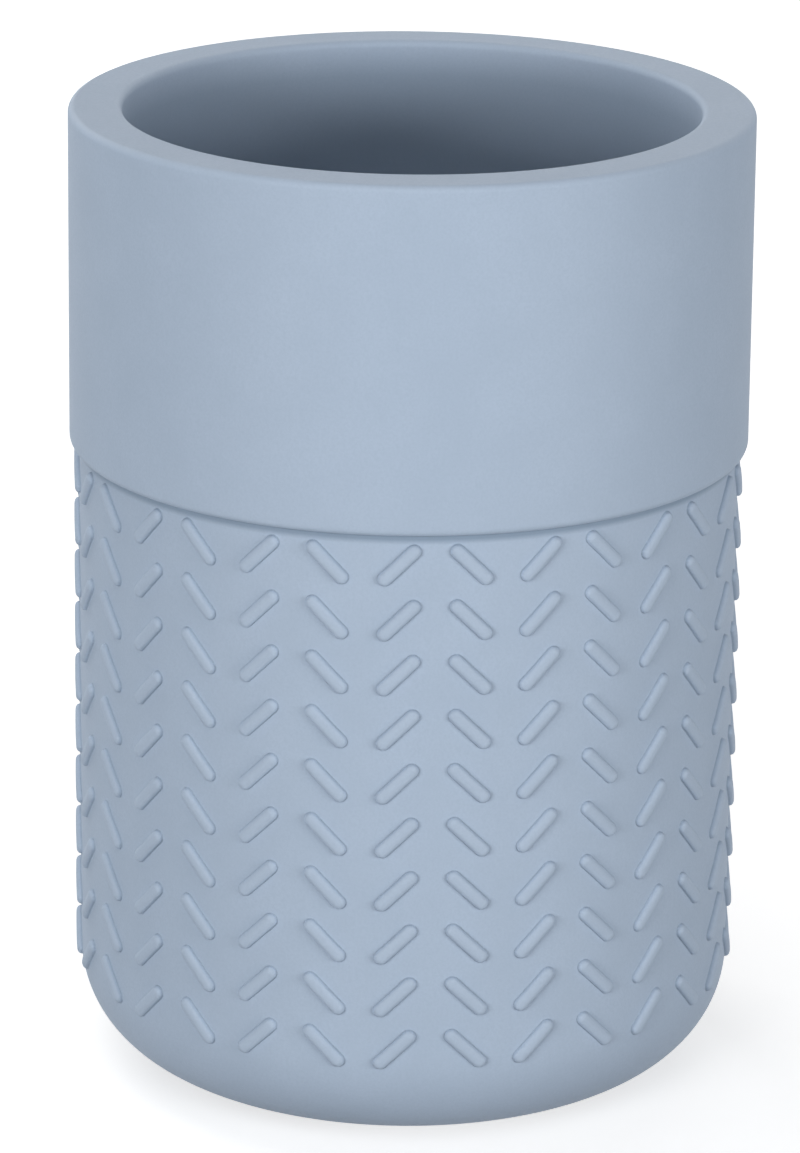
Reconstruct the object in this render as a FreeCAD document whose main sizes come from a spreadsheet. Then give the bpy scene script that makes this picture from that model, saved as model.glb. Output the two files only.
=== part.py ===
"""Cast bathroom tumbler with a smooth collar, a herringbone of raised dashes and a foam pad underneath.

Millimetres and degrees. +Z is up, the origin is the centre of the pad's underside, and the front is -Y,
where the middle of one pair of dash columns lies.
"""
import FreeCAD
import Part
import Sketcher
import math
import os

# Driving dimensions: alias, value, meaning
SIZES = [
    ("casting_height", 109.0, "underside of the casting to the rim"),
    ("rim_radius", 37.5, "outer radius at the rim"),
    ("rim_thickness", 5.9, "wall across the flat rim"),
    ("rim_round", 0.8, "rounding of both rim edges"),
    ("collar_height", 37.7, "rim to the underside of the collar's lip"),
    ("collar_flare", 0.15, "radius gained from the rim to the lip"),
    ("lip_overhang", 1.1, "lip to the top of the patterned wall"),
    ("lip_round", 0.8, "rounding of the lip's lower edge"),
    ("crease_round", 0.3, "hollow between the lip and the wall"),
    ("wall_flare", 0.3, "radius gained from the lip down to the underside"),
    ("base_round", 11.7, "large round at the foot"),
    ("bore_taper", 0.8, "radius lost from the rim to the floor of the bore"),
    ("floor_thickness", 9.0, "underside to the floor of the bore"),
    ("floor_round", 7.0, "round between the bore and its floor"),
    ("land_width", 2.7, "bare ring of underside around the pad's recess"),
    ("recess_depth", 0.9, "depth of the pad's recess"),
    ("adhesive_thickness", 0.2, "film between the recess and the pad"),
    ("pad_thickness", 1.3, "foam pad"),
    ("pad_clearance", 0.4, "gap around the pad in its recess"),
    ("pad_edge_round", 0.3, "rounding of the pad's lower edge"),
    ("dash_length", 5.9, "dash from end to end where it meets the wall"),
    ("dash_width", 1.9, "dash across where it meets the wall"),
    ("dash_height", 0.6, "dash above the wall"),
    ("dash_lean", 45.0, "dash from the horizontal"),
    ("dash_pairs", 15, "pairs of columns around the wall"),
    ("row_pitch", 6.1, "dash centre to dash centre down a column"),
    ("first_row_drop", 3.35, "underside of the lip to the first row's centres"),
    ("row_overlap", 1.4, "most that the bottom row reaches onto the round at the foot"),
]

# Sizes that follow from the driving dimensions: alias, formula, meaning
DERIVED = [
    ("underside_z", "=pad_thickness + adhesive_thickness - recess_depth", "underside of the casting"),
    ("rim_z", "=underside_z + casting_height", "rim"),
    ("lip_z", "=rim_z - collar_height", "underside of the lip"),
    ("floor_z", "=underside_z + floor_thickness", "floor of the bore"),
    ("recess_z", "=underside_z + recess_depth", "ceiling of the pad's recess"),
    ("bore_radius", "=rim_radius - rim_thickness", "bore at the rim"),
    ("bore_low_radius", "=bore_radius - bore_taper", "bore at its floor"),
    ("lip_radius", "=rim_radius + collar_flare", "collar at its lip"),
    ("wall_top_radius", "=lip_radius - lip_overhang", "patterned wall under the lip"),
    ("wall_low_radius", "=wall_top_radius + wall_flare", "patterned wall carried down to the underside"),
    ("recess_radius", "=wall_low_radius - base_round - land_width", "pad's recess"),
    ("pad_radius", "=recess_radius - pad_clearance", "pad and its film"),
    ("wall_slope", "=wall_flare / (lip_z - underside_z)", "radius gained for each millimetre down the wall"),
    ("bar_radius", "=(dash_width ^ 2 / 4 + dash_height ^ 2) / (2 * dash_height)", "bar that a dash is cut from"),
    ("bar_sink", "=bar_radius - dash_height", "bar's axis below the wall's surface"),
    ("bar_reach", "=dash_length - dash_width", "length of the bar's straight part"),
    ("first_row_z", "=lip_z - first_row_drop", "centres of the top row"),
    ("first_row_radius", "=wall_top_radius + wall_slope * first_row_drop - bar_sink", "top row's bars"),
    ("column_angle", "=180 / dash_pairs", "one column to the next"),
    ("half_drop", "=(bar_reach * sin(dash_lean * 1deg) + dash_width) / 2", "half of a dash's upright extent"),
    ("row_end_z", "=underside_z + base_round - row_overlap", "lowest that a dash may reach"),
    ("row_room", "=first_row_z - half_drop - row_end_z", "wall left below the top row"),
    ("row_count", "=floor(row_room / row_pitch) + 1", "rows that fit on the wall"),
    ("row_span", "=row_pitch * (row_count - 1)", "top row to bottom row"),
    ("row_gain", "=row_span * wall_slope", "radius gained from the top row to the bottom row"),
]

doc = FreeCAD.newDocument("tumbler")
sheet = doc.addObject("Spreadsheet::Sheet", "Sizes")


def fill_sheet():
    """Write every size into the sheet under its alias."""
    for line, (alias, value, meaning) in enumerate(SIZES + DERIVED, start=1):
        sheet.set(f"A{line}", alias)
        sheet.set(f"B{line}", str(value))
        sheet.set(f"C{line}", meaning)
        sheet.setAlias(f"B{line}", alias)
    doc.recompute()


def size(alias):
    """Number that the sheet holds under an alias."""
    return float(getattr(sheet, alias))


def new_body(label):
    """Empty body, named as the node that it becomes."""
    body = doc.addObject("PartDesign::Body", label)
    body.Label = label
    body.Placement = FreeCAD.Placement()
    return body


def origin_part(body, role):
    """Origin plane or axis of a body, by its role."""
    return next(item for item in body.Origin.OriginFeatures if item.Role == role)


def new_sketch(body, name, plane):
    """Sketch on one of the body's own origin planes."""
    sketch = body.newObject("Sketcher::SketchObject", name)
    sketch.AttachmentSupport = [(origin_part(body, plane), "")]
    sketch.MapMode = "FlatFace"
    return sketch


def bind(sketch, formula, kind, *where):
    """Dimension in a sketch, bound to cells of the sheet."""
    index = sketch.addConstraint(Sketcher.Constraint(kind, *where))
    sketch.setExpression(f"Constraints[{index}]", formula)


# Sketch numbering: geometry -1 is the axis across and its start is the sketch's origin, -2 is the upright axis
ACROSS_AXIS = -1
UPRIGHT_AXIS = -2
ORIGIN = -1
START = 1
END = 2
CENTRE = 3

# Angles as formulas: a whole turn, and the first column, which is left of the front
FULL_TURN = "360deg"
FIRST_COLUMN = "-Sizes.column_angle * 1deg / 2"

SKETCH_UP = FreeCAD.Vector(0, 1, 0)
SKETCH_NORMAL = FreeCAD.Vector(0, 0, 1)
SAME_PLACE = 1e-5


def add_outline(sketch, corners):
    """Closed outline of straight lines in front of the axis; each corner is a radius, or None, and a height."""
    places = []
    for radius, up in corners:
        places.append(FreeCAD.Vector(-size(radius) if radius else 0, size(up), 0))
    count = len(corners)
    for index in range(count):
        sketch.addGeometry(Part.LineSegment(places[index], places[(index + 1) % count]))
    for index in range(count):
        sketch.addConstraint(Sketcher.Constraint("Coincident", index, END, (index + 1) % count, START))
    for index, (radius, up) in enumerate(corners):
        if radius:
            bind(sketch, f"Sizes.{radius}", "DistanceX", index, START, ORIGIN, START, size(radius))
        else:
            sketch.addConstraint(Sketcher.Constraint("PointOnObject", index, START, UPRIGHT_AXIS))
        bind(sketch, f"Sizes.{up}", "DistanceY", ORIGIN, START, index, START, size(up))


def revolve(body, name, sketch, axis, angle):
    """Turn of a sketch about an axis, by as much on each side of the sketch."""
    turned = body.newObject("PartDesign::Revolution", name)
    turned.Profile = sketch
    turned.ReferenceAxis = axis
    turned.Midplane = True
    turned.setExpression("Angle", angle)
    doc.recompute()
    return turned


def ring_edge(feature, radius, z):
    """Name of the feature's circular edge with this radius and height."""
    for index, edge in enumerate(feature.Shape.Edges, start=1):
        ring = edge.Curve
        if not isinstance(ring, Part.Circle):
            continue
        if abs(ring.Radius - radius) < SAME_PLACE and abs(ring.Center.z - z) < SAME_PLACE:
            return f"Edge{index}"
    raise ValueError(f"{feature.Name} has no ring of radius {radius} at height {z}")


def round_rings(body, name, feature, rings, alias):
    """Fillet of one size on circular edges, each given by the aliases of its radius and its height."""
    fillet = body.newObject("PartDesign::Fillet", name)
    fillet.Base = (feature, [ring_edge(feature, size(radius), size(z)) for radius, z in rings])
    fillet.setExpression("Radius", f"Sizes.{alias}")
    doc.recompute()
    return fillet


def turn_sketch(sketch, angle):
    """Turn an upright sketch about the tumbler's axis by an angle given as a formula."""
    start = FreeCAD.Rotation(SKETCH_UP, 1)
    sketch.AttachmentOffset = FreeCAD.Placement(FreeCAD.Vector(), start)
    sketch.setExpression("AttachmentOffset.Rotation.Angle", angle)


def add_dash_profile(body):
    """Half outline of one bar with round ends, leaning in the plane that touches the wall at the first dash."""
    profile = new_sketch(body, "DashProfile", "XZ_Plane")
    half = size("bar_reach") / 2
    bar = size("bar_radius")
    turn = math.radians(size("dash_lean"))
    quarter = math.pi / 2
    lean = FreeCAD.Rotation(SKETCH_NORMAL, size("dash_lean"))

    def leaned(along, across):
        return lean.multVec(FreeCAD.Vector(along, across, 0))

    low_end = leaned(-half - bar, 0)
    high_end = leaned(half + bar, 0)
    chord = profile.addGeometry(Part.LineSegment(low_end, high_end))
    high_circle = Part.Circle(leaned(half, 0), SKETCH_NORMAL, bar)
    high_arc = profile.addGeometry(Part.ArcOfCircle(high_circle, turn, turn + quarter))
    side = profile.addGeometry(Part.LineSegment(leaned(half, bar), leaned(-half, bar)))
    low_circle = Part.Circle(leaned(-half, 0), SKETCH_NORMAL, bar)
    low_arc = profile.addGeometry(Part.ArcOfCircle(low_circle, turn + quarter, turn + 2 * quarter))
    axis = profile.addGeometry(Part.LineSegment(low_end, high_end), True)
    for constraint in (
        ("Coincident", chord, END, high_arc, START),
        ("Tangent", high_arc, END, side, START),
        ("Tangent", side, END, low_arc, START),
        ("Coincident", low_arc, END, chord, START),
        ("PointOnObject", high_arc, CENTRE, chord),
        ("PointOnObject", low_arc, CENTRE, chord),
        ("Symmetric", high_arc, CENTRE, low_arc, CENTRE, ORIGIN, START),
        ("Coincident", axis, START, chord, START),
        ("Coincident", axis, END, chord, END),
    ):
        profile.addConstraint(Sketcher.Constraint(*constraint))
    bind(profile, "Sizes.dash_lean * 1deg", "Angle", ACROSS_AXIS, START, chord, START, turn)
    bind(profile, "Sizes.bar_reach", "Distance", low_arc, CENTRE, high_arc, CENTRE, size("bar_reach"))
    bind(profile, "Sizes.bar_radius", "Radius", high_arc, bar)
    turn_sketch(profile, FIRST_COLUMN)
    profile.setExpression("AttachmentOffset.Base.x", f"Sizes.first_row_radius * sin({FIRST_COLUMN})")
    profile.setExpression("AttachmentOffset.Base.y", "Sizes.first_row_z")
    profile.setExpression("AttachmentOffset.Base.z", f"Sizes.first_row_radius * cos({FIRST_COLUMN})")
    return profile


def add_row_guide(body):
    """Line down the wall in the first column's own upright plane, which the rows follow."""
    guide = new_sketch(body, "RowGuide", "XZ_Plane")
    low_end = FreeCAD.Vector(size("row_gain"), -size("row_span"), 0)
    line = guide.addGeometry(Part.LineSegment(FreeCAD.Vector(), low_end))
    guide.addConstraint(Sketcher.Constraint("Coincident", line, START, ORIGIN, START))
    bind(guide, "Sizes.row_gain", "DistanceX", line, START, line, END, size("row_gain"))
    bind(guide, "Sizes.row_span", "DistanceY", line, END, line, START, size("row_span"))
    turn_sketch(guide, f"{FIRST_COLUMN} - 90deg")
    return guide


def add_dashes(body):
    """Two columns of raised dashes on the wedge: one leaning bar, mirrored and repeated down the wall."""
    profile = add_dash_profile(body)
    guide = add_row_guide(body)
    doc.recompute()
    dash = revolve(body, "Dash", profile, (profile, ["Axis0"]), FULL_TURN)
    dashes = body.newObject("PartDesign::MultiTransform", "Dashes")
    dashes.Originals = [dash]
    pair = body.newObject("PartDesign::Mirrored", "DashPair")
    pair.MirrorPlane = (origin_part(body, "YZ_Plane"), [""])
    rows = body.newObject("PartDesign::LinearPattern", "DashRows")
    rows.Direction = (guide, ["Edge1"])
    rows.setExpression("Length", "sqrt(Sizes.row_span ^ 2 + Sizes.row_gain ^ 2)")
    rows.setExpression("Occurrences", "Sizes.row_count")
    dashes.Transformations = [pair, rows]
    body.Tip = dashes
    doc.recompute()


def repeat_around(body):
    """The whole wedge, repeated until the turn is full."""
    around = body.newObject("PartDesign::PolarPattern", "Wedges")
    around.TransformMode = "Whole shape"
    around.Axis = (origin_part(body, "Z_Axis"), [""])
    around.Angle = 360.0
    around.setExpression("Occurrences", "Sizes.dash_pairs")
    body.Tip = around
    doc.recompute()


def add_tumbler():
    """The casting: a wedge of the cup with its rounds and its dashes, repeated around the axis."""
    body = new_body("tumbler_body")
    outline = new_sketch(body, "Profile", "YZ_Plane")
    add_outline(outline, [
        (None, "recess_z"),
        ("recess_radius", "recess_z"),
        ("recess_radius", "underside_z"),
        ("wall_low_radius", "underside_z"),
        ("wall_top_radius", "lip_z"),
        ("lip_radius", "lip_z"),
        ("rim_radius", "rim_z"),
        ("bore_radius", "rim_z"),
        ("bore_low_radius", "floor_z"),
        (None, "floor_z"),
    ])
    doc.recompute()
    wedge = revolve(body, "Wedge", outline, (outline, ["V_Axis"]), "2deg * Sizes.column_angle")
    rim = round_rings(body, "RimRound", wedge, [("rim_radius", "rim_z"), ("bore_radius", "rim_z")], "rim_round")
    lip = round_rings(body, "LipRound", rim, [("lip_radius", "lip_z")], "lip_round")
    crease = round_rings(body, "CreaseRound", lip, [("wall_top_radius", "lip_z")], "crease_round")
    floor = round_rings(body, "FloorRound", crease, [("bore_low_radius", "floor_z")], "floor_round")
    round_rings(body, "BaseRound", floor, [("wall_low_radius", "underside_z")], "base_round")
    add_dashes(body)
    repeat_around(body)
    return body


def add_disc(label, thickness):
    """Flat disc of the pad's radius about the axis."""
    body = new_body(label)
    outline = new_sketch(body, label + "_outline", "XY_Plane")
    ring = outline.addGeometry(Part.Circle(FreeCAD.Vector(), SKETCH_NORMAL, size("pad_radius")))
    outline.addConstraint(Sketcher.Constraint("Coincident", ring, CENTRE, ORIGIN, START))
    bind(outline, "Sizes.pad_radius", "Radius", ring, size("pad_radius"))
    disc = body.newObject("PartDesign::Pad", label + "_disc")
    disc.Profile = outline
    disc.setExpression("Length", f"Sizes.{thickness}")
    doc.recompute()
    return body, disc


def add_pad():
    """Foam pad that the tumbler stands on, with its lower edge rounded."""
    body, disc = add_disc("base_pad", "pad_thickness")
    edge = body.newObject("PartDesign::Fillet", "PadEdgeRound")
    edge.Base = (disc, [ring_edge(disc, size("pad_radius"), 0)])
    edge.setExpression("Radius", "Sizes.pad_edge_round")
    doc.recompute()
    return body


def add_adhesive():
    """Film on top of the pad, which holds it to the ceiling of the recess."""
    body, _ = add_disc("pad_adhesive", "adhesive_thickness")
    body.setExpression("Placement.Base.z", "Sizes.pad_thickness")
    doc.recompute()
    return body


def check(bodies):
    """Stop if any object failed or a piece is not one valid solid."""
    for item in doc.Objects:
        if "Invalid" in item.State or "Error" in item.State:
            raise RuntimeError(f"{item.Name} is {item.State}")
    for body in bodies:
        shape = body.Shape
        if shape.isNull() or not shape.isValid() or len(shape.Solids) != 1:
            raise RuntimeError(f"{body.Label} is not one valid solid")
        print(body.Label, f"{shape.Volume:.1f} mm3", f"{len(shape.Faces)} faces")


fill_sheet()
pieces = [add_tumbler(), add_pad(), add_adhesive()]
check(pieces)
os.makedirs("parts", exist_ok=True)
for piece in pieces:
    piece.Shape.exportStep(f"parts/{piece.Label}.step")
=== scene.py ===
"""Looks of a cast bathroom tumbler: the lacquered casting with its raised dashes, and its foam pad.

Metres and degrees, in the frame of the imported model: +Z is up and the front is -Y.
"""
import math

import bmesh
import bpy
from mathutils import Matrix, Vector, noise


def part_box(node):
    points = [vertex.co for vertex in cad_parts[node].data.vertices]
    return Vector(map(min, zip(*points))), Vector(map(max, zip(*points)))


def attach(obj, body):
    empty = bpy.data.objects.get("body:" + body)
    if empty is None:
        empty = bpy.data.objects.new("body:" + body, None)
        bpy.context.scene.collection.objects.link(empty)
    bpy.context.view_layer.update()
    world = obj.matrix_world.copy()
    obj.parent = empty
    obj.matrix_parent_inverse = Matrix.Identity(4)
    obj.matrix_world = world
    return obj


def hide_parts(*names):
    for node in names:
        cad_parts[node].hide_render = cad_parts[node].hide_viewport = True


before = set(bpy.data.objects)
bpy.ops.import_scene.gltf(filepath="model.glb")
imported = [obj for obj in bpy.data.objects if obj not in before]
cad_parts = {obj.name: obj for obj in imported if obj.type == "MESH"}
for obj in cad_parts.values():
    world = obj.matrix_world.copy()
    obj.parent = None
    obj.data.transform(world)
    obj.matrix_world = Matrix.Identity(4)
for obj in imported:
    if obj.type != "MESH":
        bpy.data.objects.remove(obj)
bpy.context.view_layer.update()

MM = 0.001

# Sizes read from the frame
body_low, body_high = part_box("tumbler_body")
pad_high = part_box("base_pad")[1]
UNDERSIDE_Z = body_low.z
RIM_Z = body_high.z
LIP_RADIUS = body_high.x
PAD_RADIUS = pad_high.x
PAD_THICKNESS = pad_high.z

# Casting
COLLAR_HEIGHT = 37.7 * MM
COLLAR_FLARE = 0.15 * MM
RIM_THICKNESS = 5.9 * MM
RIM_ROUND = 0.8 * MM
LIP_OVERHANG = 1.1 * MM
LIP_ROUND = 0.8 * MM
CREASE_ROUND = 0.3 * MM
WALL_FLARE = 0.3 * MM
BASE_ROUND = 11.7 * MM
BORE_TAPER = 0.8 * MM
FLOOR_THICKNESS = 9.0 * MM
FLOOR_ROUND = 7.0 * MM
RECESS_DEPTH = 0.9 * MM
PAD_CLEARANCE = 0.4 * MM
RECESS_ROUND = 0.25 * MM

LIP_Z = RIM_Z - COLLAR_HEIGHT
FLOOR_Z = UNDERSIDE_Z + FLOOR_THICKNESS
RECESS_Z = UNDERSIDE_Z + RECESS_DEPTH
RECESS_RADIUS = PAD_RADIUS + PAD_CLEARANCE
RIM_RADIUS = LIP_RADIUS - COLLAR_FLARE
BORE_RADIUS = RIM_RADIUS - RIM_THICKNESS
BORE_LOW_RADIUS = BORE_RADIUS - BORE_TAPER
WALL_TOP_RADIUS = LIP_RADIUS - LIP_OVERHANG

# Dashes: one cell of the wall holds one dash, and a power over 2 flattens its crown
COLUMNS = 30
ROWS = 10
ROW_PITCH = 6.1 * MM
FIRST_ROW_DROP = 3.35 * MM
DASH_LENGTH = 5.9 * MM
DASH_WIDTH = 1.55 * MM
DASH_HEIGHT = 0.6 * MM
DASH_LEAN = math.radians(45)
CROWN_POWER = 2.5
FOOT_HOLD = 0.12 * MM

COLUMN_ANGLE = 2 * math.pi / COLUMNS
CELL_WIDTH = WALL_TOP_RADIUS * COLUMN_ANGLE
FIRST_ROW_Z = LIP_Z - FIRST_ROW_DROP
WALL_TOP_Z = FIRST_ROW_Z + ROW_PITCH / 2
WALL_LOW_Z = WALL_TOP_Z - ROWS * ROW_PITCH
DASH_HALF = (DASH_LENGTH - DASH_WIDTH) / 2

# Faces of a cell: its edges, a dash's straight side and each quarter of its round ends
CELL_ACROSS = 9
CELL_UP = 7
SIDE_STEPS = 6
END_STEPS = 5
AROUND = COLUMNS * CELL_ACROSS

# Rings round a dash: shares of the way from its foot to the border of its cell
CELL_RINGS = (0.3, 0.62, 1.0)

# Rings down the side of a dash: degrees from its crown, and how far crown (1) or crease (-1)
DASH_RINGS = ((15, 0.9), (35, 0.7), (55, 0.4), (70, 0.0), (82, -0.5), (90, -1.0))

# Faces of a profile: steps of a round, steps of a straight run, and the distance held from its ends
ARC_STEPS = 8
RUN_STEP = 4 * MM
HOLD = 0.35 * MM
SMALL_ROUND = 1 * MM
SAME_POINT = 0.01 * MM
WELD = 0.001 * MM
ON_AXIS = 1e-6 * MM

# Lacquer: its tones, the shares of those that lie over others, and the sizes of its pattern
LACQUER_DARK = (0.392, 0.478, 0.596, 1)
LACQUER_PALE = (0.412, 0.500, 0.622, 1)
LACQUER_GRAIN = (0.365, 0.450, 0.566, 1)
# Paler tone on crowns and edges: partly rubbed, partly a painted highlight
LACQUER_RUBBED_AND_HIGHLIGHT = (0.450, 0.540, 0.660, 1)
# Darker tone in creases and hollows: painted shade
LACQUER_CREASE_SHADE = (0.200, 0.265, 0.345, 1)
# Darker tone under the lip and down the bore: painted shade
LACQUER_PAINTED_SHADE = (0.210, 0.280, 0.370, 1)
LACQUER_SHEEN = (0.80, 0.88, 1.0, 1)
GRAIN_SHARE = 0.55
RUBBED_AND_HIGHLIGHT_SHARE = 0.25
CREASE_SHADE_SHARE = 0.5
MOTTLE_SIZE = 7 * MM
GRAIN_SIZE = 0.28 * MM
GRAIN_DEPTH = 0.02 * MM

# Painted shade under the lip and down the bore: its share, and where it comes in
LIP_SHADE = 0.85
LIP_SHADE_START = LIP_Z - 1.1 * MM
LIP_SHADE_FULL = LIP_Z - 0.5 * MM
LIP_SHADE_TOP = LIP_Z + 0.1 * MM
LIP_SHADE_INNER = WALL_TOP_RADIUS - 1 * MM
BORE_SHADE = 0.45
BORE_SHADE_FULL = RIM_Z - 4 * MM

# Foam and film: their tones, and the sizes of their patterns
FOAM_DARK = (0.070, 0.075, 0.080, 1)
FOAM_PALE = (0.095, 0.100, 0.106, 1)
FOAM_WALLS = (0.150, 0.155, 0.162, 1)
FOAM_CELL = 0.45 * MM
FOAM_PATCH = 4 * MM
FOAM_DEPTH = 0.12 * MM
FILM_DARK = (0.70, 0.69, 0.63, 1)
FILM_PALE = (0.74, 0.73, 0.69, 1)
FILM_CLOUD = 3 * MM
FILM_WEAVE = 0.4 * MM
FILM_DEPTH = 0.01 * MM

# Camera, fitted to the rim, the lip, the dashes and the outline in the photograph
CAMERA_DISTANCE = 0.6
CAMERA_AZIMUTH = math.radians(-4.594)
CAMERA_ELEVATION = math.radians(18.124)
CAMERA_ROLL = math.radians(0.6)
CAMERA_AIM_RIGHT = -0.817 * MM
CAMERA_AIM_Z = 55.37 * MM
FOCAL_PIXELS = 5352.75
IMAGE_HEIGHT = 1153
SENSOR = 36.0

# Light: lamps as (name, degrees round from the front, degrees up, distance, width, height, power)
LAMPS = [
    ("left", -42, 9, 0.8, 0.40, 0.2, 3.35),
    ("right", 46, 9, 0.8, 0.45, 0.2, 3.2),
    ("above", -110, 75, 0.8, 0.35, 0.35, 1.15),
    ("front", -12, 40, 0.8, 0.35, 0.35, 0.8),
    ("back_left", -150, 32, 0.8, 0.45, 0.30, 1.7),
    ("back_right", 160, 30, 0.8, 0.45, 0.30, 0.9),
]
LAMP_AIM = (0, 0, 55 * MM)
SURROUND_LIGHT = 0.06
FLOOR_BOUNCE = 0.35
FLOOR_GLOW = 0.62
FLOOR_SHOWN = 0.70
FLOOR_REACH = 4.0


def place(radius, angle, z):
    """Point at an angle round the axis, counted from the front towards +X."""
    return Vector((radius * math.sin(angle), -radius * math.cos(angle), z))


def wall_line(z):
    """Radius of the straight part of the wall."""
    share = (LIP_Z - z) / (LIP_Z - UNDERSIDE_Z)
    return WALL_TOP_RADIUS + WALL_FLARE * share


BASE_CENTRE_Z = UNDERSIDE_Z + BASE_ROUND
BASE_CENTRE_RADIUS = wall_line(BASE_CENTRE_Z) - BASE_ROUND


def wall_radius(z):
    """Radius of the wall, down into the round of the base."""
    if z >= BASE_CENTRE_Z:
        return wall_line(z)
    return BASE_CENTRE_RADIUS + math.sqrt(BASE_ROUND ** 2 - (BASE_CENTRE_Z - z) ** 2)


def straight(start, end):
    """Points along a straight run without its ends, one of them held close to each end."""
    length = math.dist(start, end)
    if length < 3 * HOLD:
        return []
    count = max(1, math.ceil((length - 2 * HOLD) / RUN_STEP))
    shares = [(HOLD + (length - 2 * HOLD) * i / count) / length for i in range(count + 1)]
    x, y = start
    x_run, y_run = end[0] - x, end[1] - y
    return [(x + x_run * share, y + y_run * share, 0.0) for share in shares]


def corner_arc(before, corner, after, radius):
    """Arc that rounds a corner: its middle is +1 on a small edge and -1 in a small hollow."""
    a = (Vector(before) - Vector(corner)).normalized()
    b = (Vector(after) - Vector(corner)).normalized()
    half = a.angle(b) / 2
    centre = Vector(corner) + (a + b).normalized() * (radius / math.sin(half))
    turn = math.pi - 2 * half
    start = Vector(corner) + a * (radius / math.tan(half)) - centre
    outward = a.y * b.x - a.x * b.y > 0
    sign = 1 if outward else -1
    steps = ARC_STEPS if radius < SMALL_ROUND else 2 * ARC_STEPS
    points = []
    for i in range(steps + 1):
        angle = sign * turn * i / steps
        arm = Matrix.Rotation(angle, 2) @ start
        edge = sign * math.sin(math.pi * i / steps) if radius <= SMALL_ROUND else 0.0
        points.append((centre.x + arm.x, centre.y + arm.y, edge))
    return points


def rounded(corners):
    """Profile through corners given as (radius, height, round)."""
    pieces = [[(corners[0][0], corners[0][1], 0.0)]]
    for before, corner, after in zip(corners, corners[1:], corners[2:]):
        pieces.append(corner_arc(before[:2], corner[:2], after[:2], corner[2]))
    pieces.append([(corners[-1][0], corners[-1][1], 0.0)])
    profile = list(pieces[0])
    for piece in pieces[1:]:
        if math.dist(profile[-1][:2], piece[0][:2]) < SAME_POINT:
            piece = piece[1:]
        profile += straight(profile[-1][:2], piece[0][:2])
        profile += piece
    return profile


def dash_rings():
    """Rings of a dash down to the wall: distance from its centre line, rise, crown or crease."""
    rings = []
    power = 2 / CROWN_POWER
    for turn, edge in DASH_RINGS:
        out, up = math.sin(math.radians(turn)), math.cos(math.radians(turn))
        rings.append((DASH_WIDTH / 2 * out ** power, DASH_HEIGHT * up ** power, edge))
    rings.append((DASH_WIDTH / 2 + FOOT_HOLD, 0.0, 0.0))
    return rings


def dash_stations():
    """Once round a dash from its upper tip: the centre line's point and the way out from it."""
    half_turn = []
    for i in range(END_STEPS):
        half_turn.append((DASH_HALF, math.pi / 2 * i / END_STEPS))
    for i in range(SIDE_STEPS):
        half_turn.append((DASH_HALF - 2 * DASH_HALF * i / SIDE_STEPS, math.pi / 2))
    for i in range(END_STEPS):
        half_turn.append((-DASH_HALF, math.pi / 2 + math.pi / 2 * i / END_STEPS))
    other = [(-along, out + math.pi) for along, out in half_turn]
    return half_turn + other


def cell_border():
    """Once round a cell from its upper right corner, by the upper left, as (across, up)."""
    right, top = CELL_WIDTH / 2, ROW_PITCH / 2
    half_turn = [(right - CELL_WIDTH * i / CELL_ACROSS, top) for i in range(CELL_ACROSS)]
    half_turn += [(-right, top - ROW_PITCH * i / CELL_UP) for i in range(CELL_UP)]
    return half_turn + [(-across, -up) for across, up in half_turn]


def dash_cell():
    """One cell with its dash, as points (across, up, rise, edge) and faces."""
    cos_lean, sin_lean = math.cos(DASH_LEAN), math.sin(DASH_LEAN)

    def leaned(along, aside):
        return along * cos_lean - aside * sin_lean, along * sin_lean + aside * cos_lean

    stations = dash_stations()
    count = len(stations)
    points = []
    for i in range(SIDE_STEPS + 1):
        across, up = leaned(DASH_HALF - 2 * DASH_HALF * i / SIDE_STEPS, 0)
        points.append((across, up, DASH_HEIGHT, 1.0))
    rings = []
    for distance, rise, edge in dash_rings():
        rings.append(len(points))
        for along, out in stations:
            across, up = leaned(along + distance * math.cos(out), distance * math.sin(out))
            points.append((across, up, rise, edge))
    foot = points[rings[-1]:]
    border = cell_border()
    for share in CELL_RINGS:
        rings.append(len(points))
        for (across, up, _, _), (edge_across, edge_up) in zip(foot, border):
            ring_across = across + (edge_across - across) * share
            ring_up = up + (edge_up - up) * share
            points.append((ring_across, ring_up, 0.0, 0.0))

    faces = []
    first = rings[0]
    for i in range(SIDE_STEPS):
        left = first + END_STEPS + i
        right = first + (count - END_STEPS - i) % count
        faces.append((i, left, left + 1, i + 1))
        faces.append((i, i + 1, right - 1, right))
    for j in range(-END_STEPS, END_STEPS):
        faces.append((0, first + j % count, first + (j + 1) % count))
        far = j + count // 2
        faces.append((SIDE_STEPS, first + far % count, first + (far + 1) % count))
    for inner, outer in zip(rings, rings[1:]):
        for j in range(count):
            after = (j + 1) % count
            faces.append((inner + j, outer + j, outer + after, inner + after))
    return points, faces


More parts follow.
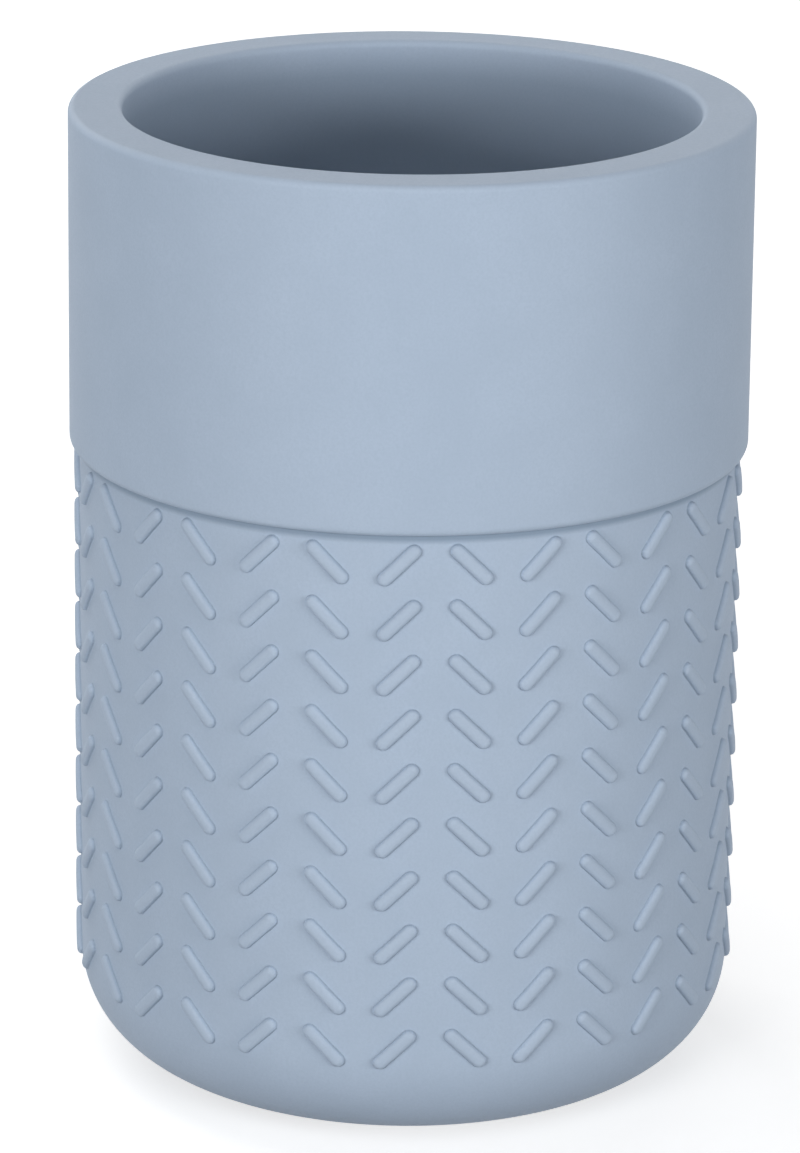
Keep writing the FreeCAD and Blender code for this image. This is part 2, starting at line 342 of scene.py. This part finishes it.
class Skin:
    """Points, faces and edge values of a mesh while it is put together: paler edges, partly rubbed
    and partly a painted highlight, and painted shade in hollows.
    """

    def __init__(self):
        self.points = []
        self.faces = []
        self.edges = []

    def revolve(self, profile, around):
        """Turn a profile once round the axis; an end on the axis is closed with a fan."""
        rings = []
        for radius, z, edge in profile:
            rings.append(len(self.points))
            turns = around if radius > ON_AXIS else 1
            for j in range(turns):
                self.points.append(place(radius, 2 * math.pi * j / around, z))
                self.edges.append(edge)
        starts = list(zip(rings, profile))
        for (low, (low_radius, _, _)), (high, (high_radius, _, _)) in zip(starts, starts[1:]):
            for j in range(around):
                after = (j + 1) % around
                if low_radius < ON_AXIS:
                    self.faces.append((low, high + after, high + j))
                elif high_radius < ON_AXIS:
                    self.faces.append((low + j, low + after, high))
                else:
                    self.faces.append((low + j, low + after, high + after, high + j))

    def add_cell(self, cell, angle, z, mirrored):
        """Lay one cell on the wall, mirrored in every other column."""
        points, faces = cell
        start = len(self.points)
        side = -1 if mirrored else 1
        for across, up, rise, edge in points:
            radius = wall_radius(z + up)
            turn = angle + side * across / CELL_WIDTH * COLUMN_ANGLE
            self.points.append(place(radius + rise, turn, z + up))
            self.edges.append(edge)
        for face in faces:
            self.faces.append(tuple(start + i for i in (face if mirrored else reversed(face))))

    def to_object(self, name, material):
        """Mesh object with its seams welded, smooth, its edge values for rubbing, painted highlight
        and painted shade kept as an attribute.
        """
        mesh = bpy.data.meshes.new(name)
        mesh.from_pydata(self.points, [], self.faces)
        rub_and_shade = mesh.attributes.new("edge_rubbing_and_shade", "FLOAT", "POINT")
        rub_and_shade.data.foreach_set("value", self.edges)
        bm = bmesh.new()
        bm.from_mesh(mesh)
        bmesh.ops.remove_doubles(bm, verts=bm.verts, dist=WELD)
        bmesh.ops.recalc_face_normals(bm, faces=bm.faces)
        for face in bm.faces:
            face.smooth = True
        bm.to_mesh(mesh)
        bm.free()
        mesh.materials.append(material)
        piece = bpy.data.objects.new(name, mesh)
        bpy.context.scene.collection.objects.link(piece)
        return piece


def casting_profiles():
    """Profile below the dashes, from the axis outwards, and above them, back to the axis."""
    below = rounded([
        (0.0, RECESS_Z, 0),
        (RECESS_RADIUS, RECESS_Z, RECESS_ROUND),
        (RECESS_RADIUS, UNDERSIDE_Z, RECESS_ROUND),
        (BASE_CENTRE_RADIUS, UNDERSIDE_Z, 0),
    ])
    steps = 3 * ARC_STEPS
    low_angle = math.asin((WALL_LOW_Z - BASE_CENTRE_Z) / BASE_ROUND)
    for i in range(1, steps + 1):
        angle = -math.pi / 2 + (low_angle + math.pi / 2) * i / steps
        radius = BASE_CENTRE_RADIUS + BASE_ROUND * math.cos(angle)
        below.append((radius, BASE_CENTRE_Z + BASE_ROUND * math.sin(angle), 0.0))
    above = rounded([
        (wall_radius(WALL_TOP_Z), WALL_TOP_Z, 0),
        (WALL_TOP_RADIUS, LIP_Z, CREASE_ROUND),
        (LIP_RADIUS, LIP_Z, LIP_ROUND),
        (RIM_RADIUS, RIM_Z, RIM_ROUND),
        (BORE_RADIUS, RIM_Z, RIM_ROUND),
        (BORE_LOW_RADIUS, FLOOR_Z, FLOOR_ROUND),
        (0.0, FLOOR_Z, 0),
    ])
    return below, above


def add_casting(material):
    """The whole casting as one closed skin."""
    skin = Skin()
    for profile in casting_profiles():
        skin.revolve(profile, AROUND)
    cell = dash_cell()
    for column in range(COLUMNS):
        for row in range(ROWS):
            row_z = FIRST_ROW_Z - row * ROW_PITCH
            skin.add_cell(cell, (column - 0.5) * COLUMN_ANGLE, row_z, column % 2 == 1)
    piece = skin.to_object("tumbler_casting", material)
    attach(piece, "root")
    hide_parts("tumbler_body")


def add_pad(material):
    """Foam disc under the casting: a soft edge, bulging sides and an uneven underside."""
    edge_round = 0.3 * MM
    bulge = 0.05 * MM
    dent = 0.04 * MM
    dents_per_metre = 300
    around = 96
    profile = rounded([
        (0.0, 0.0, 0),
        (PAD_RADIUS, 0.0, edge_round),
        (PAD_RADIUS, PAD_THICKNESS, edge_round / 2),
        (0.0, PAD_THICKNESS, 0),
    ])
    skin = Skin()
    skin.revolve(profile, around)
    for point in skin.points:
        reach = math.hypot(point.x, point.y)
        if reach > PAD_RADIUS - bulge:
            share = math.sin(math.pi * point.z / PAD_THICKNESS)
            point.xy *= 1 - bulge / PAD_RADIUS * (1 - share)
        elif point.z < PAD_THICKNESS / 2 and reach < PAD_RADIUS - 2 * edge_round:
            point.z += dent * (0.5 + 0.5 * noise.noise(point * dents_per_metre))
    piece = skin.to_object("foam_base_pad", material)
    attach(piece, "root")
    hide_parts("base_pad")


class Shader:
    """Node tree of a material while it is put together."""

    def __init__(self, name):
        self.material = bpy.data.materials.new(name)
        self.material.use_nodes = True
        self.tree = self.material.node_tree
        self.surface = self.tree.nodes["Principled BSDF"]
        self.coords = self.tree.nodes.new("ShaderNodeTexCoord").outputs["Object"]

    def node(self, kind, inputs=None, **settings):
        """New node with its settings and its inputs, each a value or another node's output."""
        made = self.tree.nodes.new(kind)
        for name, value in settings.items():
            setattr(made, name, value)
        for name, value in (inputs or {}).items():
            if isinstance(value, bpy.types.NodeSocket):
                self.tree.links.new(value, made.inputs[name])
            else:
                made.inputs[name].default_value = value
        return made

    def noise(self, size, detail):
        """Noise with features of about this size in metres, from 0 to 1."""
        inputs = {"Vector": self.coords, "Scale": 1 / size, "Detail": detail}
        return self.node("ShaderNodeTexNoise", inputs).outputs["Fac"]

    def span(self, value, low, high, to_low=0.0, to_high=1.0):
        """Value carried from one span to another, held at its ends."""
        inputs = {
            "Value": value,
            "From Min": low,
            "From Max": high,
            "To Min": to_low,
            "To Max": to_high,
        }
        return self.node("ShaderNodeMapRange", inputs).outputs["Result"]

    def upright(self):
        """Height, and distance from the tumbler's axis."""
        height = self.node("ShaderNodeSeparateXYZ", {"Vector": self.coords}).outputs["Z"]
        flat = {0: self.coords, 1: (1, 1, 0)}
        level = self.node("ShaderNodeVectorMath", flat, operation="MULTIPLY").outputs[0]
        reach = self.node("ShaderNodeVectorMath", {0: level}, operation="LENGTH").outputs["Value"]
        return height, reach

    def product(self, value, *others):
        """Values multiplied together."""
        for other in others:
            factors = {0: value, 1: other}
            value = self.node("ShaderNodeMath", factors, operation="MULTIPLY").outputs[0]
        return value

    def mix(self, share, first, second):
        """Colour between two colours."""
        made = self.node("ShaderNodeMix", data_type="RGBA")
        for name, value in (("Factor_Float", share), ("A_Color", first), ("B_Color", second)):
            socket = next(s for s in made.inputs if s.identifier == name)
            if isinstance(value, bpy.types.NodeSocket):
                self.tree.links.new(value, socket)
            else:
                socket.default_value = value
        return next(s for s in made.outputs if s.identifier == "Result_Color")

    def join(self, name, value):
        """Value or output on one of the surface's own sockets."""
        if isinstance(value, bpy.types.NodeSocket):
            self.tree.links.new(value, self.surface.inputs[name])
        else:
            self.surface.inputs[name].default_value = value

    def bump(self, height, depth, strength):
        """Fine relief of this depth in metres."""
        inputs = {"Height": height, "Distance": depth, "Strength": strength}
        self.join("Normal", self.node("ShaderNodeBump", inputs).outputs["Normal"])


def lip_shade(shader, height, reach):
    """Share of the painted shade under the lip, chosen to bring its shadow near the photograph's.
    """
    return shader.product(
        shader.span(height, LIP_SHADE_START, LIP_SHADE_FULL, 0.0, LIP_SHADE),
        shader.span(height, LIP_SHADE_TOP, LIP_Z),
        shader.span(reach, BORE_RADIUS, LIP_SHADE_INNER),
    )


def bore_shade(shader, height, reach):
    """Share of the painted shade down the bore, chosen because these lamps light it too much."""
    return shader.product(
        shader.span(height, BORE_SHADE_FULL, RIM_Z - RIM_ROUND, BORE_SHADE, 0.0),
        shader.span(height, RECESS_Z, FLOOR_Z),
        shader.span(reach, BORE_RADIUS + RIM_ROUND, BORE_RADIUS),
    )


def lacquer_material():
    """Matte soft-touch lacquer: fine grain, faint mottling, paler edges partly rubbed and partly a
    painted highlight, and painted shade in creases, under the lip and down the bore.
    """
    shader = Shader("soft_touch_lacquer")
    mottle = shader.span(shader.noise(MOTTLE_SIZE, 3), 0.3, 0.7)
    grain = shader.noise(GRAIN_SIZE, 2)
    tone = shader.mix(mottle, LACQUER_DARK, LACQUER_PALE)
    tone = shader.mix(shader.span(grain, 0.35, 0.7, 0.0, GRAIN_SHARE), tone, LACQUER_GRAIN)
    rub_and_shade = shader.node("ShaderNodeAttribute", attribute_name="edge_rubbing_and_shade").outputs["Fac"]
    # Edge values: above 0 a paler tone, partly rubbed and partly a painted highlight; below 0
    # painted shade in creases and hollows
    rubbed_and_highlight = shader.span(rub_and_shade, 0.1, 1.0, 0.0, RUBBED_AND_HIGHLIGHT_SHARE)
    crease_shade = shader.span(rub_and_shade, -1.0, -0.1, CREASE_SHADE_SHARE, 0.0)
    tone = shader.mix(rubbed_and_highlight, tone, LACQUER_RUBBED_AND_HIGHLIGHT)
    tone = shader.mix(crease_shade, tone, LACQUER_CREASE_SHADE)
    # Painted shade under the lip and down the bore
    height, reach = shader.upright()
    for shade in (lip_shade, bore_shade):
        tone = shader.mix(shade(shader, height, reach), tone, LACQUER_PAINTED_SHADE)
    shader.join("Base Color", tone)
    shader.join("Roughness", shader.span(grain, 0.3, 0.7, 0.58, 0.68))
    shader.join("Specular IOR Level", 0.35)
    shader.join("Sheen Weight", 0.06)
    shader.join("Sheen Roughness", 0.45)
    shader.join("Sheen Tint", LACQUER_SHEEN)
    shader.bump(grain, GRAIN_DEPTH, 0.35)
    return shader.material


def foam_material():
    """Closed-cell foam: small round cells with paler walls."""
    shader = Shader("closed_cell_foam")
    inputs = {"Vector": shader.coords, "Scale": 1 / FOAM_CELL}
    cells = shader.node("ShaderNodeTexVoronoi", inputs).outputs["Distance"]
    patches = shader.span(shader.noise(FOAM_PATCH, 2), 0.3, 0.7)
    tone = shader.mix(patches, FOAM_DARK, FOAM_PALE)
    tone = shader.mix(shader.span(cells, 0.25, 0.7), tone, FOAM_WALLS)
    shader.join("Base Color", tone)
    shader.join("Roughness", shader.span(cells, 0.1, 0.7, 0.86, 0.96))
    shader.join("Specular IOR Level", 0.25)
    shader.bump(cells, FOAM_DEPTH, 0.6)
    return shader.material


def film_material():
    """Double-sided adhesive film: pale, a little cloudy, with the weave of its carrier."""
    shader = Shader("adhesive_film")
    cloud = shader.span(shader.noise(FILM_CLOUD, 3), 0.3, 0.7)
    shader.join("Base Color", shader.mix(cloud, FILM_DARK, FILM_PALE))
    shader.join("Roughness", shader.span(cloud, 0.0, 1.0, 0.30, 0.42))
    shader.bump(shader.noise(FILM_WEAVE, 1), FILM_DEPTH, 0.4)
    return shader.material


def shown_ray(tree):
    """1 on rays from the camera, reflected or through glass, 0 on light that falls on things."""
    path = tree.nodes.new("ShaderNodeLightPath")
    total = path.outputs["Is Camera Ray"]
    for name in ("Is Glossy Ray", "Is Transmission Ray"):
        either = tree.nodes.new("ShaderNodeMath")
        either.operation = "MAXIMUM"
        tree.links.new(total, either.inputs[0])
        tree.links.new(path.outputs[name], either.inputs[1])
        total = either.outputs[0]
    return total


def add_floor():
    """Plain pale floor, shown white, which keeps the tumbler's shadow."""
    shader = Shader("pale_floor")
    tree = shader.tree
    tree.nodes.remove(shader.surface)
    bounce_tone = (FLOOR_BOUNCE, FLOOR_BOUNCE, FLOOR_BOUNCE, 1)
    shown_tone = (FLOOR_SHOWN, FLOOR_SHOWN, FLOOR_SHOWN, 1)
    bounce = shader.node("ShaderNodeBsdfDiffuse", {"Color": bounce_tone})
    pale = shader.node("ShaderNodeBsdfDiffuse", {"Color": shown_tone})
    glow = shader.node("ShaderNodeEmission", {"Strength": FLOOR_GLOW})
    shown = shader.node("ShaderNodeAddShader", {0: pale.outputs[0], 1: glow.outputs[0]})
    either = {0: shown_ray(tree), 1: bounce.outputs[0], 2: shown.outputs[0]}
    surface = shader.node("ShaderNodeMixShader", either).outputs[0]
    tree.links.new(surface, tree.nodes["Material Output"].inputs["Surface"])
    mesh = bpy.data.meshes.new("floor")
    r = FLOOR_REACH
    mesh.from_pydata([(-r, -r, 0), (r, -r, 0), (r, r, 0), (-r, r, 0)], [], [(0, 1, 2, 3)])
    mesh.materials.append(shader.material)
    floor = bpy.data.objects.new("floor", mesh)
    bpy.context.scene.collection.objects.link(floor)


def add_world():
    """White surround that adds a little even light."""
    world = bpy.data.worlds.new("surround")
    world.use_nodes = True
    bpy.context.scene.world = world
    tree = world.node_tree
    strength = tree.nodes.new("ShaderNodeMix")
    tree.links.new(shown_ray(tree), strength.inputs["Factor"])
    strength.inputs["A"].default_value = SURROUND_LIGHT
    strength.inputs["B"].default_value = 1.0
    background = tree.nodes["Background"]
    background.inputs["Color"].default_value = (1, 1, 1, 1)
    tree.links.new(strength.outputs["Result"], background.inputs["Strength"])


def add_lamp(name, location, target, size, power):
    """Soft rectangular lamp that the camera does not see."""
    data = bpy.data.lights.new(name, "AREA")
    data.shape = "RECTANGLE"
    data.size, data.size_y = size
    data.energy = power
    lamp = bpy.data.objects.new(name, data)
    lamp.location = location
    lamp.rotation_euler = (Vector(target) - Vector(location)).to_track_quat("-Z", "Y").to_euler()
    lamp.visible_camera = False
    bpy.context.scene.collection.objects.link(lamp)


def add_lights():
    """Broad lamps at both sides, a weak one high in front, one above and two behind."""
    for name, turn, rise, distance, width, height, power in LAMPS:
        turn, rise = math.radians(turn), math.radians(rise)
        way = place(math.cos(rise), turn, math.sin(rise))
        add_lamp(name, Vector(LAMP_AIM) + distance * way, LAMP_AIM, (width, height), power)


def add_camera():
    """Camera at the photograph's viewing angle."""
    level = math.cos(CAMERA_ELEVATION)
    back = place(level, CAMERA_AZIMUTH, math.sin(CAMERA_ELEVATION))
    right = Vector((math.cos(CAMERA_AZIMUTH), math.sin(CAMERA_AZIMUTH), 0))
    up = back.cross(right)
    turned_right = math.cos(CAMERA_ROLL) * right + math.sin(CAMERA_ROLL) * up
    turned_up = math.cos(CAMERA_ROLL) * up - math.sin(CAMERA_ROLL) * right
    aim = CAMERA_AIM_RIGHT * right + Vector((0, 0, CAMERA_AIM_Z))
    data = bpy.data.cameras.new("camera")
    data.sensor_width = SENSOR
    data.lens = FOCAL_PIXELS * SENSOR / IMAGE_HEIGHT
    camera = bpy.data.objects.new("camera", data)
    axes = Matrix((turned_right, turned_up, back)).transposed()
    camera.matrix_world = Matrix.Translation(aim + CAMERA_DISTANCE * back) @ axes.to_4x4()
    bpy.context.scene.collection.objects.link(camera)
    bpy.context.scene.camera = camera


add_casting(lacquer_material())
add_pad(foam_material())
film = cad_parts["pad_adhesive"]
film.data.materials.clear()
film.data.materials.append(film_material())
add_floor()
add_world()
add_lights()
add_camera()
bpy.context.scene.view_settings.view_transform = "Standard"
